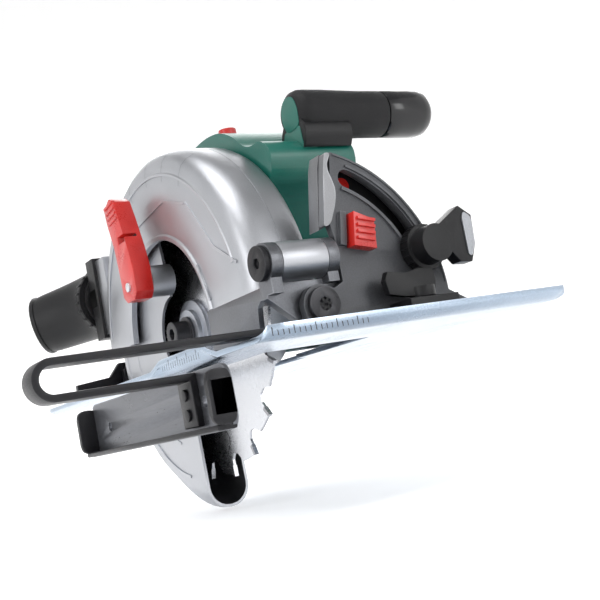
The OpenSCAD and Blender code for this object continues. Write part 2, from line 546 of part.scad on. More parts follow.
// ---------- controls ----------
module trigger() color([0.08, 0.08, 0.08]) difference() {
  xz(9.5, 26.5) union() { polygon([[-50, 104.5], [-58, 104.5], [-64, 103.2], [-84, 102.6], [-84, 92], [-72, 90.5], [-60, 91.2], [-54, 95]]); translate([-54, 100.8]) circle(4); }
  ycyl(2.55, 0, 40, -54, 100.8);
}
module trigger_pin() color("silver") ycyl(2.5, 2.5, 33.5, -54, 100.8);
module lock_off_button() color([0.8, 0.1, 0.08]) { ycyl(4.1, 29.7, 38.5, -58, 114); ycyl(6, 27.5, 29.8, -58, 114); }
module spindle_lock() color([0.8, 0.1, 0.08]) { zcyl(2, 36.6, 123, lx, ly); zcyl(5, 122.8, 131, lx, ly); }

sole_plate();
bevel_quadrant();
rear_bevel_bracket();
bevel_pins();
sole_rivets();
guide_clamp_block();
guide_wing_screw();
guide_strip();
guide_fence();
fence_rivets();
bevel_stop_slider();
tilt_bracket();
depth_hinge_pin();
depth_arc();
bevel_clamp_bolt();
bevel_clamp_lever();
upper_guard();
gear_case();
guard_retaining_ring();
guard_spring();
spindle_bearings();
motor_housing();
motor_end_cap();
motor_bearings();
stator();
brush_holders();
brush_caps();
handle_shell_right();
handle_shell_left();
handle_grip();
handle_screws();
switch_block();
cable_gland();
front_handle();
front_grip();
front_grip_end();
handle_plug();
dust_adaptor();
dust_spout();
depth_clamp_bolt();
depth_clamp_lever();
pendulum_guard();
guard_lever();
lever_screw();
spindle();
drive_gear();
inner_flange();
saw_blade();
outer_flange();
arbor_bolt();
armature_shaft();
pinion();
armature_core();
commutator();
cooling_fan();
trigger();
lock_off_button();
spindle_lock();
trigger_pin();
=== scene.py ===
import bpy, bmesh, math, json
from mathutils import Vector, Matrix, noise

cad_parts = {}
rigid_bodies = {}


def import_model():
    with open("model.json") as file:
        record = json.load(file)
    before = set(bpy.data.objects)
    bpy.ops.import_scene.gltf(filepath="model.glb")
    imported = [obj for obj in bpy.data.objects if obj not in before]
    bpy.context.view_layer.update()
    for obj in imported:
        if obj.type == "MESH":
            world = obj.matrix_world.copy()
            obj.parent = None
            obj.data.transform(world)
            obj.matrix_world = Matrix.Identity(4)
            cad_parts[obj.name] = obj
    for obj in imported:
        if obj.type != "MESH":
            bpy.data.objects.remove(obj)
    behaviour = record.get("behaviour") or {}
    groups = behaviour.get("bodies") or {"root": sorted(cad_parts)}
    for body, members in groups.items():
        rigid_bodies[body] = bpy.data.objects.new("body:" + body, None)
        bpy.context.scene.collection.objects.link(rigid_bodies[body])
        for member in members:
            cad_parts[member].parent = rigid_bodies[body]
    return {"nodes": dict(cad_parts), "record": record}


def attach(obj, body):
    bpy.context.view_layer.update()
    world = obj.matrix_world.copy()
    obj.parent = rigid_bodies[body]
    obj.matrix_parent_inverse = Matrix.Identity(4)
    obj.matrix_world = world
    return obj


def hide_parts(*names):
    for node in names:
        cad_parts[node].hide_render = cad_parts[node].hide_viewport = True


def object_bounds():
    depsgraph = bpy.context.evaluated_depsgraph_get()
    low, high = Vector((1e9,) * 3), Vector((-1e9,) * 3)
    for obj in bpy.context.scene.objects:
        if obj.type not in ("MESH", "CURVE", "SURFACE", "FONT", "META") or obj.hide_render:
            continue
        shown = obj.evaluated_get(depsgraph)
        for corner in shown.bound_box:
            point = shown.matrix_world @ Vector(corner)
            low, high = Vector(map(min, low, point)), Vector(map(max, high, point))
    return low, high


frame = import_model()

cad_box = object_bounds()
N = frame["nodes"]
REC = frame["record"]
BODY = {n: b for b, ns in REC["behaviour"]["bodies"].items() for n in ns}
SLOT = {s["node"]: s["material_slot"] for s in REC["subparts"]}
MM = 0.001
scene = bpy.context.scene


# ---------------------------------------------------------------- materials
def new_mat(name):
    m = bpy.data.materials.new(name)
    m.use_nodes = True
    nt = m.node_tree
    nt.nodes.clear()
    out = nt.nodes.new("ShaderNodeOutputMaterial")
    b = nt.nodes.new("ShaderNodeBsdfPrincipled")
    nt.links.new(b.outputs[0], out.inputs[0])
    return m, nt, b


def make(name, base, rough=0.5, metal=0.0, var=0.12, vscale=45.0, rvar=0.08, bump=0.2, bscale=1400.0,
         bdist=0.00015, stretch=(1, 1, 1), edge=0.0, edgecol=(0.8, 0.8, 0.8), coat=0.0, coat_rough=0.15,
         spec=None, polar=None, pits=0.0, cells=0.0, cellscale=1200.0, speck=0.0, dust=0.0):
    """A procedural finish: colour variation, roughness variation and fine relief, all in object space."""
    m, nt, b = new_mat(name)
    nn, lk = nt.nodes.new, nt.links.new
    tc = nn("ShaderNodeTexCoord")
    if polar:
        # turned finish: the pattern runs round an axis along Y
        sub = nn("ShaderNodeVectorMath"); sub.operation = "SUBTRACT"; sub.inputs[1].default_value = (polar[0], 0, polar[1])
        lk(tc.outputs["Object"], sub.inputs[0])
        sep = nn("ShaderNodeSeparateXYZ"); lk(sub.outputs[0], sep.inputs[0])
        xz = nn("ShaderNodeCombineXYZ"); lk(sep.outputs[0], xz.inputs[0]); lk(sep.outputs[2], xz.inputs[1])
        ln = nn("ShaderNodeVectorMath"); ln.operation = "LENGTH"; lk(xz.outputs[0], ln.inputs[0])
        at = nn("ShaderNodeMath"); at.operation = "ARCTAN2"; lk(sep.outputs[2], at.inputs[0]); lk(sep.outputs[0], at.inputs[1])
        am = nn("ShaderNodeMath"); am.operation = "MULTIPLY"; am.inputs[1].default_value = 0.004; lk(at.outputs[0], am.inputs[0])
        cb = nn("ShaderNodeCombineXYZ"); lk(ln.outputs["Value"], cb.inputs[0]); lk(am.outputs[0], cb.inputs[1])
        fine = cb.outputs[0]
    else:
        mp = nn("ShaderNodeMapping"); mp.inputs["Scale"].default_value = stretch
        lk(tc.outputs["Object"], mp.inputs[0])
        fine = mp.outputs[0]
    n1 = nn("ShaderNodeTexNoise"); n1.inputs["Scale"].default_value = vscale; n1.inputs["Detail"].default_value = 5
    lk(tc.outputs["Object"], n1.inputs["Vector"])
    n2 = nn("ShaderNodeTexNoise"); n2.inputs["Scale"].default_value = bscale; n2.inputs["Detail"].default_value = 3
    lk(fine, n2.inputs["Vector"])
    mx = nn("ShaderNodeMix"); mx.data_type = "RGBA"
    mx.inputs["A"].default_value = tuple(c * (1 - var) for c in base) + (1,)
    mx.inputs["B"].default_value = tuple(min(1, c * (1 + var)) for c in base) + (1,)
    av = nn("ShaderNodeMath"); av.operation = "MULTIPLY_ADD"; av.inputs[1].default_value = 0.5
    hf = nn("ShaderNodeMath"); hf.operation = "MULTIPLY"; hf.inputs[1].default_value = 0.5
    lk(n2.outputs["Fac"], hf.inputs[0]); lk(n1.outputs["Fac"], av.inputs[0]); lk(hf.outputs[0], av.inputs[2])
    mr0 = nn("ShaderNodeMapRange"); mr0.inputs["From Min"].default_value = 0.35; mr0.inputs["From Max"].default_value = 0.65
    lk(av.outputs[0], mr0.inputs["Value"]); lk(mr0.outputs[0], mx.inputs["Factor"])
    col = mx.outputs["Result"]
    if speck:
        vs = nn("ShaderNodeTexNoise"); vs.inputs["Scale"].default_value = 2600; vs.inputs["Detail"].default_value = 2
        lk(tc.outputs["Object"], vs.inputs["Vector"])
        ms = nn("ShaderNodeMapRange"); ms.inputs["From Min"].default_value = 0.58; ms.inputs["From Max"].default_value = 0.7
        ms.inputs["To Max"].default_value = speck
        lk(vs.outputs["Fac"], ms.inputs["Value"])
        m2 = nn("ShaderNodeMix"); m2.data_type = "RGBA"; m2.inputs["B"].default_value = tuple(min(1, c * 1.9 + 0.03) for c in base) + (1,)
        lk(ms.outputs[0], m2.inputs["Factor"]); lk(col, m2.inputs["A"]); col = m2.outputs["Result"]
    if edge:
        bv = nn("ShaderNodeBevel"); bv.samples = 4; bv.inputs["Radius"].default_value = 0.0012
        ge = nn("ShaderNodeNewGeometry")
        dt = nn("ShaderNodeVectorMath"); dt.operation = "DOT_PRODUCT"
        lk(bv.outputs[0], dt.inputs[0]); lk(ge.outputs["Normal"], dt.inputs[1])
        me = nn("ShaderNodeMapRange"); me.inputs["From Min"].default_value = 0.995; me.inputs["From Max"].default_value = 0.86
        me.inputs["To Max"].default_value = edge
        lk(dt.outputs["Value"], me.inputs["Value"])
        ml = nn("ShaderNodeMath"); ml.operation = "MULTIPLY"; lk(me.outputs[0], ml.inputs[0])
        mn = nn("ShaderNodeMapRange"); mn.inputs["From Min"].default_value = 0.35; mn.inputs["From Max"].default_value = 0.6
        lk(n1.outputs["Fac"], mn.inputs["Value"]); lk(mn.outputs[0], ml.inputs[1])
        m3 = nn("ShaderNodeMix"); m3.data_type = "RGBA"; m3.inputs["B"].default_value = tuple(edgecol) + (1,)
        lk(ml.outputs[0], m3.inputs["Factor"]); lk(col, m3.inputs["A"]); col = m3.outputs["Result"]
    lk(col, b.inputs["Base Color"])
    mr = nn("ShaderNodeMapRange"); mr.inputs["From Min"].default_value = 0.3; mr.inputs["From Max"].default_value = 0.7
    mr.inputs["To Min"].default_value = max(0.03, rough - rvar); mr.inputs["To Max"].default_value = min(1, rough + rvar)
    lk(av.outputs[0], mr.inputs["Value"]); lk(mr.outputs[0], b.inputs["Roughness"])
    b.inputs["Metallic"].default_value = metal
    h = n2.outputs["Fac"]
    if cells:
        vo = nn("ShaderNodeTexVoronoi"); vo.inputs["Scale"].default_value = cellscale
        lk(tc.outputs["Object"], vo.inputs["Vector"])
        mc = nn("ShaderNodeMath"); mc.operation = "MULTIPLY_ADD"; mc.inputs[1].default_value = cells
        lk(vo.outputs["Distance"], mc.inputs[0]); lk(h, mc.inputs[2]); h = mc.outputs[0]
    bp = nn("ShaderNodeBump"); bp.inputs["Strength"].default_value = bump; bp.inputs["Distance"].default_value = bdist
    lk(h, bp.inputs["Height"]); lk(bp.outputs[0], b.inputs["Normal"])
    if coat:
        b.inputs["Coat Weight"].default_value = coat
        b.inputs["Coat Roughness"].default_value = coat_rough
    if spec is not None:
        b.inputs["Specular IOR Level"].default_value = spec
    return m


AX, AZ = -0.013, 0.025
MAT = {
    "zinc_steel": make("zinc_steel", (0.34, 0.41, 0.50), 0.24, 1.0, 0.14, 26, 0.08, 0.12, 420, 0.0001, stretch=(0.12, 3.2, 3.2), edge=0.5, edgecol=(0.72, 0.78, 0.86)),
    "black_cast": make("black_cast", (0.062, 0.064, 0.070), 0.42, 0.3, 0.22, 60, 0.1, 0.35, 1500, 0.0002, edge=0.45, edgecol=(0.22, 0.23, 0.25), cells=0.4, spec=0.4),
    "black_steel": make("black_steel", (0.010, 0.010, 0.012), 0.40, 0.2, 0.2, 70, 0.1, 0.3, 1800, 0.00012, edge=0.35, edgecol=(0.12, 0.12, 0.13), spec=0.3),
    "bright_steel": make("bright_steel", (0.66, 0.66, 0.68), 0.27, 1.0, 0.08, 90, 0.08, 0.1, 1600, 0.0001, stretch=(1, 4, 4)),
    "black_plastic": make("black_plastic", (0.0065, 0.0065, 0.0075), 0.42, 0.0, 0.2, 80, 0.07, 0.4, 2600, 0.00014, cells=0.5, cellscale=2000, speck=0.12, spec=0.3),
    "grey_steel": make("grey_steel", (0.40, 0.42, 0.46), 0.40, 0.9, 0.12, 40, 0.1, 0.2, 900, 0.0001, stretch=(0.3, 2, 2), edge=0.5, edgecol=(0.7, 0.72, 0.76)),
    "grey_cast": make("grey_cast", (0.30, 0.31, 0.33), 0.45, 0.85, 0.15, 60, 0.08, 0.5, 1500, 0.0003, edge=0.5, edgecol=(0.62, 0.63, 0.66), cells=0.6),
    "silver_cast": make("silver_cast", (0.43, 0.44, 0.465), 0.36, 0.95, 0.07, 35, 0.06, 0.35, 2200, 0.00018, edge=0.45, edgecol=(0.66, 0.67, 0.69), cells=0.5, cellscale=1800),
    "red_plastic": make("red_plastic", (0.50, 0.016, 0.012), 0.30, 0.0, 0.12, 60, 0.06, 0.2, 1800, 0.0001, coat=0.15),
    "green_plastic": make("green_plastic", (0.006, 0.112, 0.084), 0.36, 0.0, 0.12, 45, 0.06, 0.25, 2200, 0.00012, cells=0.4, cellscale=1900, speck=0.08, coat=0.08, coat_rough=0.3),
    "soft_grip": make("soft_grip", (0.0055, 0.0055, 0.0065), 0.58, 0.0, 0.2, 90, 0.08, 0.55, 3000, 0.0002, cells=0.8, cellscale=1500, speck=0.14, spec=0.28),
    "gloss_black": make("gloss_black", (0.005, 0.005, 0.006), 0.2, 0.0, 0.2, 70, 0.06, 0.12, 1500, 0.00008, coat=0.12, spec=0.4),
    "blade_steel": make("blade_steel", (0.62, 0.63, 0.66), 0.26, 1.0, 0.10, 40, 0.08, 0.3, 5200, 0.0001, polar=(AX, AZ), edge=0.3, edgecol=(0.9, 0.9, 0.92)),
    "dark_screw": make("dark_screw", (0.03, 0.03, 0.034), 0.36, 0.5, 0.2, 80, 0.1, 0.2, 1500, 0.0001, edge=0.5, edgecol=(0.28, 0.28, 0.3)),
    "laminated_steel": make("laminated_steel", (0.20, 0.20, 0.22), 0.4, 0.9, 0.3, 40, 0.1, 0.6, 900, 0.0003, stretch=(0.2, 6, 0.2)),
    "copper": make("copper", (0.55, 0.25, 0.12), 0.32, 1.0, 0.15, 60, 0.08, 0.2, 1600, 0.0001),
    "brass": make("brass", (0.62, 0.44, 0.18), 0.3, 1.0, 0.12, 60, 0.08, 0.2, 1600, 0.0001),
}
CARBIDE = make("carbide", (0.30, 0.30, 0.32), 0.25, 1.0, 0.1, 200, 0.05, 0.1, 3000, 0.0001)
# dark material for the inside of the pendulum guard: painted shade in its hollow
GUARD_INSIDE_SHADE = make("guard_inside_painted_shade", (0.05, 0.05, 0.055), 0.55, 0.5, 0.3, 60, 0.1, 0.4, 1500, 0.0002)
MARK = make("mark_dark", (0.02, 0.02, 0.022), 0.5, 0.0, 0.1, 60, 0.05, 0.1, 1500, 0.0001)
# near-black material for slots, vents and recesses drawn as flat strips: painted shade where the openings show dark
SLOT_SHADE = make("painted_slot_shade", (0.008, 0.008, 0.009), 0.7, 0.0, 0.1, 60, 0.05, 0.1, 1500, 0.0001)

for n, o in N.items():
    o.data.materials.clear()
    o.data.materials.append(MAT[SLOT[n]])
    for p in o.data.polygons:
        p.material_index = 0


# ---------------------------------------------------------------- helpers
def finish_mesh(me, sharp=32):
    for p in me.polygons:
        p.use_smooth = True
    me.set_sharp_from_angle(angle=math.radians(sharp))


def add(name, bm, mat, body, sharp=32, mats=None):
    me = bpy.data.meshes.new(name)
    bm.to_mesh(me); bm.free()
    for x in (mats or [mat]):
        me.materials.append(x)
    finish_mesh(me, sharp)
    o = bpy.data.objects.new(name, me)
    scene.collection.objects.link(o)
    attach(o, body)
    return o


def from_node(node, bev=0.5, seg=2, mat=None, ang=34, name=None):
    """The frame's own solid with its edges rounded, as a piece of its own."""
    bm = bmesh.new()
    bm.from_mesh(N[node].data)
    bmesh.ops.remove_doubles(bm, verts=bm.verts, dist=2e-6)
    bmesh.ops.dissolve_limit(bm, angle_limit=math.radians(0.4), verts=bm.verts, edges=bm.edges)
    edges = [e for e in bm.edges if len(e.link_faces) == 2 and e.calc_face_angle(0) > math.radians(ang)]
    if bev and edges:
        bmesh.ops.bevel(bm, geom=edges, offset=bev * MM, segments=seg, profile=0.6, affect="EDGES", clamp_overlap=True)
    bmesh.ops.recalc_face_normals(bm, faces=bm.faces)
    o = add(name or ("v_" + node), bm, mat or MAT[SLOT[node]], BODY[node])
    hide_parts(node)
    return o


# ---------------------------------------------------------------- camera
def place_camera():
    az, el, ro = (math.radians(v) for v in (57.977, -6.650, 11.105))
    D = Vector((-math.sin(az) * math.cos(el), math.cos(az) * math.cos(el), -math.sin(el)))
    R = Vector((math.cos(az), math.sin(az), 0))
    U = R.cross(D)
    R2 = R * math.cos(ro) - U * math.sin(ro)
    U2 = R * math.sin(ro) + U * math.cos(ro)
    cam = bpy.data.cameras.new("cam")
    cam.sensor_width = 36
    cam.lens = 1014.734 / 600 * 36
    cam.clip_start = 0.01
    o = bpy.data.objects.new("cam", cam)
    m = Matrix((R2, U2, -D)).transposed().to_4x4()
    m.translation = Vector((0.4758057, -0.2732133, -0.032118))
    o.matrix_world = m
    scene.collection.objects.link(o)
    scene.camera = o


place_camera()

# ---------------------------------------------------------------- pieces
ROUND = {
    "rear_bevel_bracket": 0.6, "bevel_pins": 0.5, "sole_rivets": 0.5,
    "guide_clamp_block": 0.5, "guide_wing_screw": 0.9, "guide_strip": 0.5, "fence_rivets": 0.5,
    "bevel_stop_slider": 0.5, "tilt_bracket": 0.8, "depth_hinge_pin": 0.6, "depth_arc": 0.4, "bevel_clamp_bolt": 0.4,
    "bevel_clamp_lever": 1.0, "upper_guard": 0.8, "motor_end_cap": 0.8, "brush_caps": 0.4,
    "handle_shell_right": 1.6, "handle_shell_left": 1.6, "handle_grip": 1.2, "cable_gland": 0.6, 
    "handle_plug": 0.3, "dust_adaptor": 1.2, 
    "depth_clamp_lever": 0.9, "guard_lever": 1.2, "lever_screw": 0.4, 
    "outer_flange": 0.4, "arbor_bolt": 0.5, "trigger": 1.0, "lock_off_button": 0.6, "spindle_lock": 0.7, "gear_case": 0.6,
}
for n, w in ROUND.items():
    from_node(n, w, mat=MAT["dark_screw"] if n == "bevel_pins" else None)

# ---------------------------------------------------------------- detailed pieces
def ring_y(bm, cx, cz, prof, seg=96, a0=0.0, a1=360.0, cap=False, mi=0):
    """Sweeps a closed outline of (radius, y) round a Y axis, in mm."""
    full = abs(a1 - a0) >= 359.9
    n = seg if full else seg + 1
    loops = []
    for i in range(n):
        a = math.radians(a0 + (a1 - a0) * i / seg)
        loops.append([bm.verts.new(((cx + r * math.cos(a)) * MM, y * MM, (cz + r * math.sin(a)) * MM)) for r, y in prof])
    k = len(prof)
    for i in range(seg):
        A, B = loops[i], loops[(i + 1) % n]
        for j in range(k):
            f = bm.faces.new((A[j], A[(j + 1) % k], B[(j + 1) % k], B[j])); f.material_index = mi
    if not full:
        bm.faces.new(loops[0]).material_index = mi
        bm.faces.new(list(reversed(loops[-1]))).material_index = mi
    return loops


def lathe_y(bm, cx, cz, prof, seg=64, mi=0, sx=1.0, sz=1.0):
    """Open outline from axis to axis, (radius, y), closed round a Y axis."""
    loops = []
    for r, y in prof:
        if r < 1e-6:
            loops.append([bm.verts.new((cx * MM, y * MM, cz * MM))])
        else:
            loops.append([bm.verts.new(((cx + sx * r * math.cos(2 * math.pi * i / seg)) * MM, y * MM, (cz + sz * r * math.sin(2 * math.pi * i / seg)) * MM)) for i in range(seg)])
    for A, B in zip(loops, loops[1:]):
        for i in range(seg):
            j = (i + 1) % seg
            if len(A) == 1 and len(B) == 1:
                continue
            if len(A) == 1:
                f = bm.faces.new((A[0], B[i], B[j]))
            elif len(B) == 1:
                f = bm.faces.new((A[i], B[0], A[j]))
            else:
                f = bm.faces.new((A[i], B[i], B[j], A[j]))
            f.material_index = mi


def prism(bm, pts, lo, hi, axis="y", bev=0.6, seg=2, mi=0):
    """Outline extruded along an axis, with rounded edges. For y the outline is (x, z), for x it is (y, z), for z it is (x, y). In mm."""
    def P(a, b, c):
        return {"y": (a * MM, c * MM, b * MM), "x": (c * MM, a * MM, b * MM), "z": (a * MM, b * MM, c * MM)}[axis]
    A = [bm.verts.new(P(a, b, lo)) for a, b in pts]
    B = [bm.verts.new(P(a, b, hi)) for a, b in pts]
    fs = [bm.faces.new(A), bm.faces.new(list(reversed(B)))]
    k = len(pts)
    for i in range(k):
        fs.append(bm.faces.new((A[i], B[i], B[(i + 1) % k], A[(i + 1) % k])))
    for f in fs:
        f.material_index = mi
    if bev:
        es = {e for f in fs for e in f.edges}
        r = bmesh.ops.bevel(bm, geom=list(es), offset=bev * MM, segments=seg, profile=0.55, affect="EDGES", clamp_overlap=True)
        for f in r["faces"]:
            f.material_index = mi


def done(name, bm, mats, body, sharp=35, rep=()):
    bmesh.ops.recalc_face_normals(bm, faces=bm.faces)
    o = add(name, bm, None, body, sharp, mats=mats)
    if rep:
        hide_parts(*rep)
    return o


def fillet(pts, r, n=5):
    """Rounds the corners of a closed outline."""
    out = []
    k = len(pts)
    for i in range(k):
        p0, p1, p2 = Vector(pts[i - 1]), Vector(pts[i]), Vector(pts[(i + 1) % k])
        a, b = (p0 - p1), (p2 - p1)
        la, lb = a.length, b.length
        if la < 1e-6 or lb < 1e-6:
            continue
        t = min(r, la * 0.45, lb * 0.45)
        q0, q2 = p1 + a / la * t, p1 + b / lb * t
        for j in range(n + 1):
            s = j / n
            out.append(tuple(q0 * (1 - s) ** 2 + p1 * 2 * s * (1 - s) + q2 * s * s))
    return out


S = MAT["silver_cast"]


def guard_details():
    """Raised castings and engraved lines on the fixed guard's outer face."""
    bm = bmesh.new()
    cx, cz = AX * 1000, AZ * 1000
    yf = -50.5
    # raised rim round the window, and the outer shoulder line
    ring_y(bm, cx, cz, [(50.0, yf + 2), (50.0, yf - 0.7), (50.8, yf - 1.0), (52.2, yf - 0.9), (53.2, yf + 0.1), (53.2, yf + 2)], 72, 4, 176)
    ring_y(bm, cx, cz, [(83.0, yf + 1), (83.3, yf - 0.45), (84.4, yf - 0.55), (85.2, yf + 0.1), (85.2, yf + 1)], 84, 14, 172)
    # raised border of the face panel
    for p in ([(-60, 60), (-32, 88), (6, 92), (30, 84), (31.4, 84.9), (6.4, 93.4), (-32.6, 89.4), (-61, 61)],
              [(31, 84), (52, 56), (72, 44), (72.6, 45.2), (53, 57.2), (32, 85.2)]):
        prism(bm, p, yf - 0.5, yf + 1, "y", 0.2, 1)
    # a wear line below the window
    prism(bm, fillet([(38, 33), (40.4, 33), (33, 53), (30.8, 52.4)], 0.8, 3), yf - 0.7, yf + 1, "y", 0.25, 2)
    o = done("guard_castings", bm, [S], "saw_head")
    # radial lines in the shoulder and the parting line of the casting
    bm = bmesh.new()
    for a in (60, 74, 88, 104, 120):
        ca, sa = math.cos(math.radians(a)), math.sin(math.radians(a))
        t = 0.22
        loop = [(80, yf - 0.06), (85.9, yf - 0.06), (90.5, -49.6), (94, -46.95), (96.2, -42.9)]
        L, Rr = [], []
        for r, y in loop:
            bx, bz = cx + (r + 0.05) * ca, cz + (r + 0.05) * sa
            L.append(bm.verts.new(((bx - sa * t) * MM, y * MM, (bz + ca * t) * MM)))
            Rr.append(bm.verts.new(((bx + sa * t) * MM, y * MM, (bz - ca * t) * MM)))
        for i in range(len(loop) - 1):
            bm.faces.new((L[i], L[i + 1], Rr[i + 1], Rr[i]))
    ring_y(bm, cx, cz, [(96.9, -30.0), (97.06, -30.0), (97.06, -29.5), (96.9, -29.5)], 120, 3, 177)
    done("guard_lines", bm, [MAT["grey_cast"]], "saw_head")


def grip():
    """Transverse front grip: soft overmould with a rounded head, a green inlay on its right end, and a glossy end piece."""
    gx, gz, R = 55.0, 121.0, 13.0
    head = [(0, 5.1), (6.5, 5.1), (9.6, 5.7), (11.8, 7.4), (12.8, 9.8), (R, 13), (R, 24), (12.7, 34), (12.4, 48), (12.5, 60.0), (12.2, 60.6), (11.2, 60.8), (0, 60.8)]
    bm = bmesh.new(); lathe_y(bm, gx, gz, head, 72)
    done("grip_overmould", bm, [MAT["soft_grip"]], BODY["front_grip"], 50, ("front_grip",))
    tail = [(0, 61.1), (11.2, 61.1), (12.2, 61.3), (12.55, 62), (12.9, 70), (R, 78), (12.8, 84), (11.9, 88), (9.8, 90.6), (6.5, 91.8), (0, 92)]
    bm = bmesh.new(); lathe_y(bm, gx, gz, tail, 72)
    done("grip_end", bm, [MAT["gloss_black"]], BODY["front_grip_end"], 50, ("front_grip_end",))
    # neck that carries it, in black plastic, and the green inlay
    bm = bmesh.new()
    neck = fillet([(44, 106.9), (56, 108.7), (62.8, 100.6), (66.8, 107), (66.5, 113), (60, 120), (48, 119), (43, 113), (42.6, 106.9)], 2.2, 4)
    prism(bm, neck, 5.6, 33.7, "y", 1.6, 3)
    done("grip_neck", bm, [MAT["black_plastic"]], BODY["front_handle"], 40, ("front_handle",))
    bm = bmesh.new()
    inlay = fillet([(48.6, 112.6), (61.6, 112.6), (63.2, 123), (59.4, 130.2), (50.6, 130.2), (46.8, 123)], 4.5, 6)
    prism(bm, inlay, 5.05, 11.4, "y", 0.7, 3)
    prism(bm, fillet([(44, 101), (62.4, 101), (62, 114), (46, 114)], 3, 4), 5.3, 14, "y", 1.2, 3)
    done("grip_inlay", bm, [MAT["green_plastic"]], BODY["front_handle"], 40)


def lever_details():
    bm = bmesh.new()
    bpx, bpz = -16.0, 55.0
    for i in range(4):
        z = bpz + 45.2 - i * 3.1
        x0 = bpx - 15.0 + i * 0.9
        prism(bm, fillet([(x0, z - 0.8 - 1.0), (x0 + 12.6, z + 0.6 - 1.0), (x0 + 12.4, z + 2.0 - 1.0), (x0 - 0.2, z + 0.7 - 1.0)], 0.5, 3), -68.5, -66.5, "y", 0.35, 2)
    done("lever_ribs", bm, [MAT["red_plastic"]], "lower_guard")
    # dark patch on the lever's face: painted shade standing in for its recessed slot
    bm = bmesh.new()
    prism(bm, fillet([(bpx - 3.6, bpz + 22.3), (bpx + 4.6, bpz + 22.3), (bpx + 4.4, bpz + 25.6), (bpx - 3.6, bpz + 25.6)], 0.8, 3), -60.9, -60.3, "y", 0)
    done("lever_slot", bm, [SLOT_SHADE], "lower_guard")


def blade():
    """Blade with turned finish, carbide tips and stress-relief slots."""
    bm = bmesh.new(); bm.from_mesh(N["saw_blade"].data)
    bmesh.ops.remove_doubles(bm, verts=bm.verts, dist=2e-6)
    bmesh.ops.dissolve_limit(bm, angle_limit=math.radians(0.4), verts=bm.verts, edges=bm.edges)
    cx, cz = AX * 1000, AZ * 1000
    for f in bm.faces:
        c = f.calc_center_median() * 1000
        if abs(c.y + 34.3) > 0.75 and math.hypot(c.x - cx, c.z - cz) > 70:
            f.material_index = 1
    o = done("v_saw_blade", bm, [MAT["blade_steel"], CARBIDE], "blade_spindle", 30, ("saw_blade",))
    # stress-relief slots drawn as thin dark strips on both faces: painted shade where the cut slots show dark
    bm = bmesh.new()
    for k in range(4):
        a = -40 + 45 + k * 90
        pts = [((70 - 16 * s) , a + 9 * math.sin(s * 2.6)) for s in [i / 8 for i in range(9)]]
        for side in (-35.04, -33.56):
            L, R2 = [], []
            for r, t in pts:
                for w_, arr in ((-0.3, L), (0.3, R2)):
                    tt = math.radians(t) + w_ / r
                    arr.append(bm.verts.new(((cx + r * math.cos(tt)) * MM, side * MM, (cz + r * math.sin(tt)) * MM)))
            for i in range(len(pts) - 1):
                bm.faces.new((L[i], L[i + 1], R2[i + 1], R2[i]))
    done("blade_slots", bm, [SLOT_SHADE], "blade_spindle")


def quadrant():
    o = from_node("bevel_quadrant", 0.8)
    o.data.materials.append(MAT["flank"])
    for p in o.data.polygons:
        if p.center.x < 0.0972 and p.center.z > 0.03:
            p.material_index = 1
    # raised edge round the bevel slot
    bm = bmesh.new()
    pv = (-28.0, 16.0)
    def band(r0, r1, a0, a1, x0, x1, n=28):
        lo, hi = [], []
        loops = []
        for i in range(n + 1):
            a = math.radians(a0 + (a1 - a0) * i / n)
            c, s = math.cos(a), math.sin(a)
            loops.append([bm.verts.new((x * MM, (pv[0] + r * c) * MM, (pv[1] + r * s) * MM)) for x, r in ((x0, r0), (x1, r0 + 0.3), (x1, r1 - 0.3), (x0, r1))])
        for A, B in zip(loops, loops[1:]):
            for j in range(4):
                bm.faces.new((A[j], A[(j + 1) % 4], B[(j + 1) % 4], B[j]))
        bm.faces.new(loops[0]); bm.faces.new(list(reversed(loops[-1])))
    band(56.2, 58.2, 17, 67, 101.3, 102.5)
    band(67.8, 69.4, 17, 67, 101.3, 102.5)
    band(71.4, 72.8, 3, 73, 101.3, 102.1)
    done("quadrant_ribs", bm, [MAT["black_cast"]], "base")
    # silver flank on the blade side, with its wavy edge against the plate
    bm = bmesh.new()
    edge = [(8.7, 34.8), (12.9, 36.2), (14.6, 40), (17.2, 45), (18.7, 50), (18.9, 53.5), (18.0, 57.5), (16.9, 61), (17.0, 64.5), (18.6, 67.2), (20.0, 69.6), (16.8, 70.1), (15.6, 66), (14.5, 62)]
    prism(bm, fillet([(pv[0] + a, pv[1] + b) for a, b in edge], 2.0, 4), 97.15, 101.9, "x", 0.6, 3)
    done("quadrant_flank", bm, [MAT["flank"]], "base", 40)
    # dark plate behind the slot: painted shade standing in for the shadow seen through it
    bm = bmesh.new()
    band(56.0, 72.4, 12, 70, 88.0, 89.3)
    band(71.2, 72.4, 24, 70, 89.2, 91.3)
    done("slot_shade_plate", bm, [MAT["black_plastic"]], "base", 40)
    bm = bmesh.new()
    ca, sa = math.cos(math.radians(62.5)), math.sin(math.radians(62.5))
    disc = [(pv[0] + 2.4 + 63 * ca + 4.0 * math.cos(2 * math.pi * i / 24), pv[1] + 1.0 + 63 * sa + 4.0 * math.sin(2 * math.pi * i / 24)) for i in range(24)]
    prism(bm, disc, 89.2, 90.2, "x", 0.3, 2)
    done("slot_mark", bm, [MAT["red_plastic"]], "base", 40)


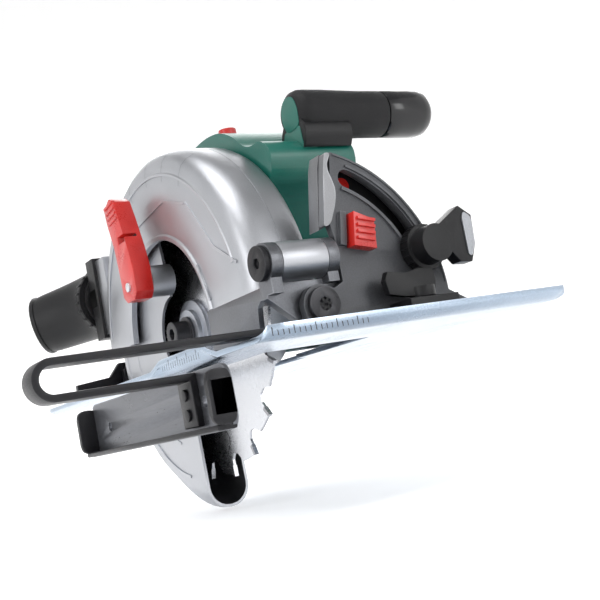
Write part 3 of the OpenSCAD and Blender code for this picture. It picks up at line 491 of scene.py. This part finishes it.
def sole_details():
    """Graduations on the front edge and the right front corner."""
    bm = bmesh.new()
    for i in range(19):
        y = -80 + i * 2.5 + 0
        h = 3.4 if i % 4 == 0 else 2.1
        x = 143.04
        bm.faces.new([bm.verts.new(v) for v in ((x * MM, (y - 0.2) * MM, 1.2 * MM), (x * MM, (y + 0.2) * MM, 1.2 * MM), (x * MM, (y + 0.2) * MM, (1.2 + h) * MM), (x * MM, (y - 0.2) * MM, (1.2 + h) * MM))])
    for i in range(26):
        x = 20 + i * 2.5
        h = 4.4 if i % 4 == 0 else 2.6
        z = 2.55
        if 57 < x:
            bm.faces.new([bm.verts.new(v) for v in (((x - 0.2) * MM, -57 * MM, z * MM), ((x + 0.2) * MM, -57 * MM, z * MM), ((x + 0.2) * MM, (-57 - h) * MM, z * MM), ((x - 0.2) * MM, (-57 - h) * MM, z * MM))])
        if 42 <= x <= 85:
            # marks on the outer face of the raised lip
            bm.faces.new([bm.verts.new(v) for v in (((x - 0.2) * MM, -83.04 * MM, 2.0 * MM), ((x + 0.2) * MM, -83.04 * MM, 2.0 * MM), ((x + 0.2) * MM, -83.04 * MM, (2.0 + h) * MM), ((x - 0.2) * MM, -83.04 * MM, (2.0 + h) * MM))])
    done("sole_graduations", bm, [MARK], "base")


def sweep_tube(bm, path, radii, seg=48, inner=None):
    """Round duct along a path; inner gives the wall, so that the end stays open."""
    def frames(pts):
        out = []
        for i, p in enumerate(pts):
            t = (pts[min(i + 1, len(pts) - 1)] - pts[max(i - 1, 0)]).normalized()
            u = Vector((0, 0, 1)) - t * t.z
            u.normalize()
            out.append((p, u, t.cross(u)))
        return out
    def shell(rs, flip):
        loops = []
        for (p, u, v), r in zip(frames([Vector(q) for q in path]), rs):
            loops.append([bm.verts.new((p + u * (r * math.cos(2 * math.pi * i / seg)) + v * (r * math.sin(2 * math.pi * i / seg))) * MM) for i in range(seg)])
        for A, B in zip(loops, loops[1:]):
            for i in range(seg):
                j = (i + 1) % seg
                bm.faces.new((A[i], B[i], B[j], A[j]) if not flip else (A[j], B[j], B[i], A[i]))
        return loops
    O = shell(radii, False)
    I = shell(inner, True)
    for A, B in ((O[0], I[0]), (O[-1], I[-1])):
        for i in range(seg):
            j = (i + 1) % seg
            bm.faces.new((A[i], A[j], B[j], B[i]))


def spout():
    """Elbow of the dust outlet, with its collar and a rolled mouth."""
    p0, p1, p2 = Vector((-127, -35, 66)), Vector((-147.5, -35, 66)), Vector((-172.3, -67.3, 60.4))
    path, rad, inn = [], [], []
    n = 22
    for i in range(n + 1):
        t = i / n
        q = p0 * (1 - t) ** 2 + p1 * 2 * t * (1 - t) + p2 * t * t
        path.append(tuple(q))
        r = 21.6 - 3.0 * (t ** 1.3)
        if t > 0.93:
            r = 18.45
        rad.append(r); inn.append(min(r - 1.8, 16.5) if t > 0.3 else 18.1)
    rad[0] = 21.0
    bm = bmesh.new(); sweep_tube(bm, path, rad, 56, inn)
    done("spout_elbow", bm, [MAT["black_plastic"]], "dust_spout", 50, ("dust_spout",))
    bm = bmesh.new()
    d = (p2 - p1).normalized()
    for k, (t0, r) in enumerate(((0.965, 18.5),)):
        c = p2 - d * 1.6
        sweep_tube(bm, [tuple(c - d * 1.4), tuple(c - d * 0.8), tuple(c + d * 0.8), tuple(c + d * 1.5)], [18.3, 19.1, 19.1, 18.3], 56, [17.2, 17.2, 17.2, 17.2])
    done("spout_mouth", bm, [MAT["black_plastic"]], "dust_spout", 50)
    # finger flats on the collar
    bm = bmesh.new()
    for i in range(24):
        a = 2 * math.pi * i / 24
        c, s = math.cos(a), math.sin(a)
        y, z = -35 + 21.1 * c, 66 + 21.1 * s
        prism(bm, [(y - s * 1.0, z + c * 1.0), (y + c * 0.9 - s * 0.7, z + s * 0.9 + c * 0.7), (y + c * 0.9 + s * 0.7, z + s * 0.9 - c * 0.7), (y + s * 1.0, z - c * 1.0)], -133.5, -127, "x", 0.2, 1)
    done("spout_knurl", bm, [MAT["black_plastic"]], "dust_spout", 50)


def lower_guard():
    """Pendulum guard: a pressed U shell, its leading end drawn out to a rounded beak."""
    cx, cz = AX * 1000, AZ * 1000
    bm = bmesh.new()
    def prof(a):
        # a in degrees, from 96 to 270; the beak starts at 240
        s = max(0.0, min(1.0, (a - 240) / 28.0))
        s = s * s * (3 - 2 * s)
        R = 83.4 + 10.9 * s
        ro = 2.6 + 8.9 * s
        out = [(21, -46), (R - ro, -46)]
        for i in range(1, 7):
            t = math.pi / 2 * i / 6
            out.append((R - ro + ro * math.sin(t), -46 + ro * (1 - math.cos(t))))
        for i in range(0, 7):
            t = math.pi / 2 * i / 6
            out.append((R - ro + ro * math.cos(t), -22 - ro * (1 - math.sin(t))))
        out.append((20.2, -22))
        inn = []
        w = 1.5
        ri, Ri = max(1.2, ro - w), R - w
        inn.append((20.2, -22 - w))
        inn.append((Ri - ri, -22 - w))
        for i in range(1, 7):
            t = math.pi / 2 * i / 6
            inn.append((Ri - ri + ri * math.sin(t), -22 - w - ri * (1 - math.cos(t))))
        for i in range(0, 7):
            t = math.pi / 2 * i / 6
            inn.append((Ri - ri + ri * math.cos(t), -46 + w + ri * (1 - math.sin(t))))
        inn.append((21, -46 + w))
        return out, inn
    angs = [96 + (236 - 96) * i / 56 for i in range(57)] + [236 + (270.8 - 236) * i / 26 for i in range(1, 27)]
    loops = []
    for a in angs:
        o_, i_ = prof(a)
        ca, sa = math.cos(math.radians(a)), math.sin(math.radians(a))
        loops.append([bm.verts.new(((cx + r * ca) * MM, y * MM, (cz + r * sa) * MM)) for r, y in o_ + i_])
    k = len(loops[0]); no = len(prof(100)[0])
    for A, B in zip(loops, loops[1:]):
        for j in range(k):
            f = bm.faces.new((A[j], A[(j + 1) % k], B[(j + 1) % k], B[j]))
            # inner faces take the dark inside material: painted shade in the hollow of the shell
            f.material_index = 1 if no <= j < k - 1 else 0
    for L in (loops[0], loops[-1]):
        for j in range(no - 1):
            bm.faces.new((L[j], L[j + 1], L[k - 2 - j], L[k - 1 - j]))
    # hub ring and the ear under the lever
    ring_y(bm, cx, cz, [(20.1, -24), (20.1, -22), (30, -22), (30, -24)], 72)
    bx_, bz_ = -16.0, 55.0
    lathe_y(bm, bx_, bz_, [(0, -58), (7.6, -58), (8.4, -57.2), (8.5, -56), (8.5, -44.5), (0, -44.5)], 48)
    done("lower_guard_shell", bm, [S, GUARD_INSIDE_SHADE], "lower_guard", 40, ("pendulum_guard",))
    # rolled edge along the opening, and two pressed lines on the face
    bm = bmesh.new()
    ring_y(bm, cx, cz, [(76.0, -45.9), (76.3, -46.5), (77.6, -46.5), (78.0, -45.9)], 70, 100, 258)
    ring_y(bm, cx, cz, [(60.0, -45.9), (60.3, -46.35), (61.2, -46.35), (61.5, -45.9)], 70, 112, 250)
    done("lower_guard_beads", bm, [S], "lower_guard", 40)


def housing():
    """Green motor housing: a drum, and a rounded block that carries both handles."""
    mx_, mz_ = -7.0, 47.202
    G = MAT["green_plastic"]
    bm = bmesh.new()
    lathe_y(bm, mx_, mz_, [(0, 8.1), (38.4, 8.1), (40.2, 8.6), (41, 10), (41, 40), (41, 60), (40.8, 72), (40.2, 77.4), (39.4, 77.9), (0, 77.9)], 96)
    outline = [(-46, 66), (-46, 110), (-40, 121), (-26, 127), (0, 128.3), (16, 126), (29, 119), (40, 108.5), (56, 108), (63, 100), (60, 88), (46, 80), (36, 66), (30, 58)]
    prism(bm, fillet(outline, 7, 5), -15.2, 35.8, "y", 4.5, 5)
    done("housing_body", bm, [G], "saw_head", 40, ("motor_housing",))
    bm = bmesh.new()
    # curved shoulder and its parting line
    sh = fillet([(-30, 70), (-33, 108), (-20, 119), (0, 121), (12, 117.5), (24, 106), (30, 92), (33, 80), (24, 66)], 8, 6)
    prism(bm, sh, -16.4, -14.4, "y", 0.9, 3)
    done("housing_shoulder", bm, [G], "saw_head", 40)
    bm = bmesh.new()
    # ledge and vent hoods under the block, on the side of the bracket
    prism(bm, fillet([(30, 79.5), (47, 83.5), (49, 86.5), (32, 82.5)], 1.2, 3), -13.5, 34, "y", 0.7, 2)
    for i in range(3):
        y0 = -6 + i * 12
        prism(bm, fillet([(28, 66.0), (38.5, 72.0), (39.5, 74.5), (29, 68.4)], 0.9, 3), y0, y0 + 8, "y", 0.5, 2)
    done("housing_ledge", bm, [G], "saw_head", 40)
    # vent slots drawn as thin dark strips on the drum: painted shade inside the openings
    bm = bmesh.new()
    for i in range(5):
        y0 = 9.6 + i * 8.2
        ring_y(bm, mx_, mz_, [(40.5, y0), (41.15, y0), (41.15, y0 + 3.6), (40.5, y0 + 3.6)], 14, -8 - 10, 22)
    for i in range(6):
        y0 = 20 + i * 8
        ring_y(bm, mx_, mz_, [(40.5, y0), (41.12, y0), (41.12, y0 + 3.4), (40.5, y0 + 3.4)], 14, 168, 192)
    done("housing_vents", bm, [SLOT_SHADE], "saw_head", 40)


def sole():
    """Sole of zinc-plated sheet: front edge rolled up, right front corner flared, ribs pressed into the sheet."""
    hl, hw, t = 143.0, 83.0, 2.5
    slots = [(-114, 87, -53, 4), (-44, 18, -10, 10.5)]
    xs = sorted(set([round(-hl + 2 * hl * i / 72, 3) for i in range(73)] + [-114, 87, -44, 18, 134, 137, 139.5, 141.5, -141.8, -139.5]))
    ys = sorted(set([round(-hw + 2 * hw * i / 44, 3) for i in range(45)] + [-53, 4, -10, 10.5, -81.8, -80, -78, 81.8, 80, 78]))
    def inside(x, y):
        return any(a < x < b and c < y < d for a, b, c, d in slots)
    def zt(x, y):
        z = 0.0
        s = max(0.0, (x - 134) / 9.0)
        z += 3.4 * s * s                                   # rolled front edge
        s = max(0.0, (-73.5 - y) / 9.5)
        w_ = max(0.0, min(1.0, (x - 26) / 16.0)) * max(0.0, min(1.0, (95 - x) / 9.0))
        w_ = w_ * w_ * (3 - 2 * w_)
        z += (1.3 + 3.9 * w_) * s * s * (1 if x < 97 else 0)
        s = max(0.0, (y - 76) / 7.0)
        z += 1.4 * s * s
        return z
    def rnd(x, y):
        # rounded corners of the outline
        r = 9.0
        cx_, cy_ = hl - r, hw - r
        ax_, ay_ = abs(x), abs(y)
        if ax_ > cx_ and ay_ > cy_:
            v = Vector((ax_ - cx_, ay_ - cy_))
            m = max(v.x, v.y)
            if v.length > 0:
                v = v * (m / v.length)
            return math.copysign(cx_ + v.x, x), math.copysign(cy_ + v.y, y)
        return x, y
    bm = bmesh.new()
    top, bot = {}, {}
    def vert(d, i, j, dz):
        if (i, j) not in d:
            x, y = rnd(xs[i], ys[j])
            z = zt(xs[i], ys[j])
            d[(i, j)] = bm.verts.new((x * MM, y * MM, (z + dz) * MM))
        return d[(i, j)]
    keep = set()
    for i in range(len(xs) - 1):
        for j in range(len(ys) - 1):
            if not inside((xs[i] + xs[i + 1]) / 2, (ys[j] + ys[j + 1]) / 2):
                keep.add((i, j))
    for i, j in keep:
        c = [(i, j), (i + 1, j), (i + 1, j + 1), (i, j + 1)]
        bm.faces.new([vert(top, a, b, t) for a, b in c])
        bm.faces.new([vert(bot, a, b, 0.0) for a, b in reversed(c)])
        for (di, dj), (p, q) in {(-1, 0): (3, 0), (1, 0): (1, 2), (0, -1): (0, 1), (0, 1): (2, 3)}.items():
            if (i + di, j + dj) not in keep:
                A, B = c[p], c[q]
                bm.faces.new((vert(top, *B, t), vert(top, *A, t), vert(bot, *A, 0.0), vert(bot, *B, 0.0)))
    bmesh.ops.recalc_face_normals(bm, faces=bm.faces)
    es = [e for e in bm.edges if len(e.link_faces) == 2 and e.calc_face_angle(0) > math.radians(55)]
    bmesh.ops.bevel(bm, geom=es, offset=0.55 * MM, segments=2, profile=0.6, affect="EDGES", clamp_overlap=True)
    done("sole_sheet", bm, [MAT["zinc_steel"]], "base", 40, ("sole_plate",))
    # pressed beads, seen from both faces
    bm = bmesh.new()
    for x0, x1, y in ((-100, 50, 34), (-100, 90, 50), (-100, 60, 66)):
        prism(bm, fillet([(x0, y - 3), (x1, y - 3), (x1, y + 3), (x0, y + 3)], 2.9, 6), 2.3, 3.85, "z", 1.1, 3)
        prism(bm, fillet([(x0 + 1, y - 2.2), (x1 - 1, y - 2.2), (x1 - 1, y + 2.2), (x0 + 1, y + 2.2)], 2.1, 5), -0.02, 0.3, "z", 0, 1)
    done("sole_beads", bm, [MAT["zinc_steel"]], "base", 40)


def fence_details():
    """Tray-shaped fence: rounded rims at both ends, and the strip's welded leg."""
    zt, fh, fy_ = -5.4, 25.0, -102.0
    xa, xb = -8.0, 142.0
    F = MAT["fence"]
    bm = bmesh.new()
    o = from_node("guide_fence", 0.5, mat=F)
    for x0, x1 in ((xa, xa + 2.6), (xb - 2.6, xb)):
        prism(bm, fillet([(fy_ - 8.5, zt - fh + 2), (fy_ + 1.8, zt - fh + 2), (fy_ + 1.8, zt - 2), (fy_ - 8.5, zt - 2)], 4.2, 6), x0, x1, "x", 0.8, 3)
    prism(bm, fillet([(fy_ - 6.5, zt - fh + 0.2), (fy_ + 1.8, zt - fh + 0.2), (fy_ + 1.8, zt - fh + 2.4), (fy_ - 6.5, zt - fh + 2.4)], 0.9, 3), xa + 2, xb - 2, "x", 0.4, 2)
    done("fence_rims", bm, [MAT["black_steel"]], "guide", 40)


def small_parts():
    """Torx recess, ribs and a lever cap that show in front."""
    # torx recess drawn as flat dark spokes: painted shade in the recess
    bm = bmesh.new()
    for (x, y, z) in ((104.55, -28, 16),):
        for i in range(6):
            a = math.pi / 3 * i
            c, s = math.cos(a), math.sin(a)
            prism(bm, [(y + 1.0 * c - 0.7 * s, z + 1.0 * s + 0.7 * c), (y + 3.2 * c - 0.5 * s, z + 3.2 * s + 0.5 * c), (y + 3.2 * c + 0.5 * s, z + 3.2 * s - 0.5 * c), (y + 1.0 * c + 0.7 * s, z + 1.0 * s - 0.7 * c)], x - 0.1, x + 0.05, "x", 0)
    done("pivot_recess", bm, [SLOT_SHADE], "base")
    bm = bmesh.new()
    y, z = -28 + 63 * math.cos(math.radians(19)), 16 + 63 * math.sin(math.radians(19))
    for i in range(20):
        a = 2 * math.pi * i / 20
        c, s = math.cos(a), math.sin(a)
        prism(bm, [(y + 10.8 * c - 0.8 * s, z + 10.8 * s + 0.8 * c), (y + 11.4 * c, z + 11.4 * s), (y + 10.8 * c + 0.8 * s, z + 10.8 * s - 0.8 * c)], 102.6, 107.4, "x", 0)
    done("clamp_knurl", bm, [MAT["black_plastic"]], "bevel_lever")
    bm = bmesh.new()
    prism(bm, fillet([(y + 20, z - 8), (y + 23.2, z - 2), (y + 24.0, z + 11), (y + 20, z + 14), (y + 18.4, z + 11), (y + 18.2, z - 7)], 1.6, 4), 114.6, 115.7, "x", 0.45, 2)
    done("clamp_lever_cap", bm, [MAT["grey_cast"]], "bevel_lever")


MAT["fence"] = make("fence_grey", (0.13, 0.135, 0.15), 0.33, 0.75, 0.18, 45, 0.08, 0.2, 900, 0.0001, stretch=(0.3, 2, 2), edge=0.5, edgecol=(0.5, 0.52, 0.55))
MAT["flank"] = make("flank_silver", (0.21, 0.213, 0.222), 0.42, 0.85, 0.12, 50, 0.07, 0.3, 1600, 0.00016, edge=0.5, edgecol=(0.55, 0.56, 0.58), cells=0.3)
MAT["graphite"] = make("graphite_cast", (0.15, 0.155, 0.168), 0.36, 0.8, 0.18, 50, 0.08, 0.35, 1500, 0.0002, edge=0.5, edgecol=(0.5, 0.51, 0.54), cells=0.4)
for n_, m_ in (("tilt_bracket", "graphite"),):
    for o_ in scene.objects:
        if o_.name == "v_" + n_:
            o_.data.materials[0] = MAT[m_]

for fn in (guard_details, grip, lever_details, blade, quadrant, sole_details, housing, spout, lower_guard, sole, fence_details, small_parts):
    fn()

# ---------------------------------------------------------------- floor and light
def floor():
    bm = bmesh.new()
    rings = [0, 0.3] + [0.6 + 0.25 * i for i in range(30)]
    zs = [0, 0] + [0.16 * max(0.0, r - 0.7) ** 2 for r in rings[2:]]
    seg = 64
    loops = []
    for r, z in zip(rings, zs):
        if r == 0:
            loops.append([bm.verts.new((0, 0, z))])
        else:
            loops.append([bm.verts.new((r * math.cos(2 * math.pi * i / seg), r * math.sin(2 * math.pi * i / seg), z)) for i in range(seg)])
    for a, b in zip(loops, loops[1:]):
        for i in range(seg):
            j = (i + 1) % seg
            if len(a) == 1:
                bm.faces.new((a[0], b[i], b[j]))
            else:
                bm.faces.new((a[i], b[i], b[j], a[j]))
    me = bpy.data.meshes.new("floor")
    bm.to_mesh(me); bm.free()
    m, nt, b = new_mat("floor_pale")
    no = nt.nodes.new("ShaderNodeTexNoise"); no.inputs["Scale"].default_value = 3
    tc = nt.nodes.new("ShaderNodeTexCoord"); nt.links.new(tc.outputs["Object"], no.inputs["Vector"])
    mr = nt.nodes.new("ShaderNodeMapRange"); mr.inputs["To Min"].default_value = 0.75; mr.inputs["To Max"].default_value = 0.85
    nt.links.new(no.outputs["Fac"], mr.inputs["Value"]); nt.links.new(mr.outputs[0], b.inputs["Roughness"])
    b.inputs["Base Color"].default_value = (0.95, 0.95, 0.95, 1)
    b.inputs["Emission Color"].default_value = (1, 1, 1, 1)
    b.inputs["Emission Strength"].default_value = 0.30
    me.materials.append(m)
    finish_mesh(me)
    o = bpy.data.objects.new("floor", me)
    o.location.z = cad_box[0][2] - 0.001
    scene.collection.objects.link(o)


floor()


def area(name, loc, target, size, power, color=(1, 1, 1)):
    l = bpy.data.lights.new(name, "AREA")
    l.shape = "RECTANGLE"; l.size = size[0]; l.size_y = size[1]; l.energy = power; l.color = color
    o = bpy.data.objects.new(name, l)
    o.location = loc
    o.rotation_euler = (Vector(target) - Vector(loc)).to_track_quat("-Z", "Y").to_euler()
    scene.collection.objects.link(o)


area("key_top", (0.2, -0.5, 1.9), (0, 0, 0.04), (1.3, 1.3), 21)
area("side_right", (0.5, -1.8, 0.55), (0, 0, 0.04), (0.6, 1.2), 7)
area("front_left", (1.9, 0.9, 0.5), (0, 0, 0.04), (0.6, 1.2), 10)
area("back_fill", (-1.4, 0.9, 1.0), (0, 0, 0.05), (1.2, 1.0), 12)
w = bpy.data.worlds.new("studio")
w.use_nodes = True
w.node_tree.nodes["Background"].inputs[0].default_value = (1, 1, 1, 1)
w.node_tree.nodes["Background"].inputs[1].default_value = 0.42
scene.world = w
scene.view_settings.view_transform = "Standard"
scene.view_settings.look = "None"
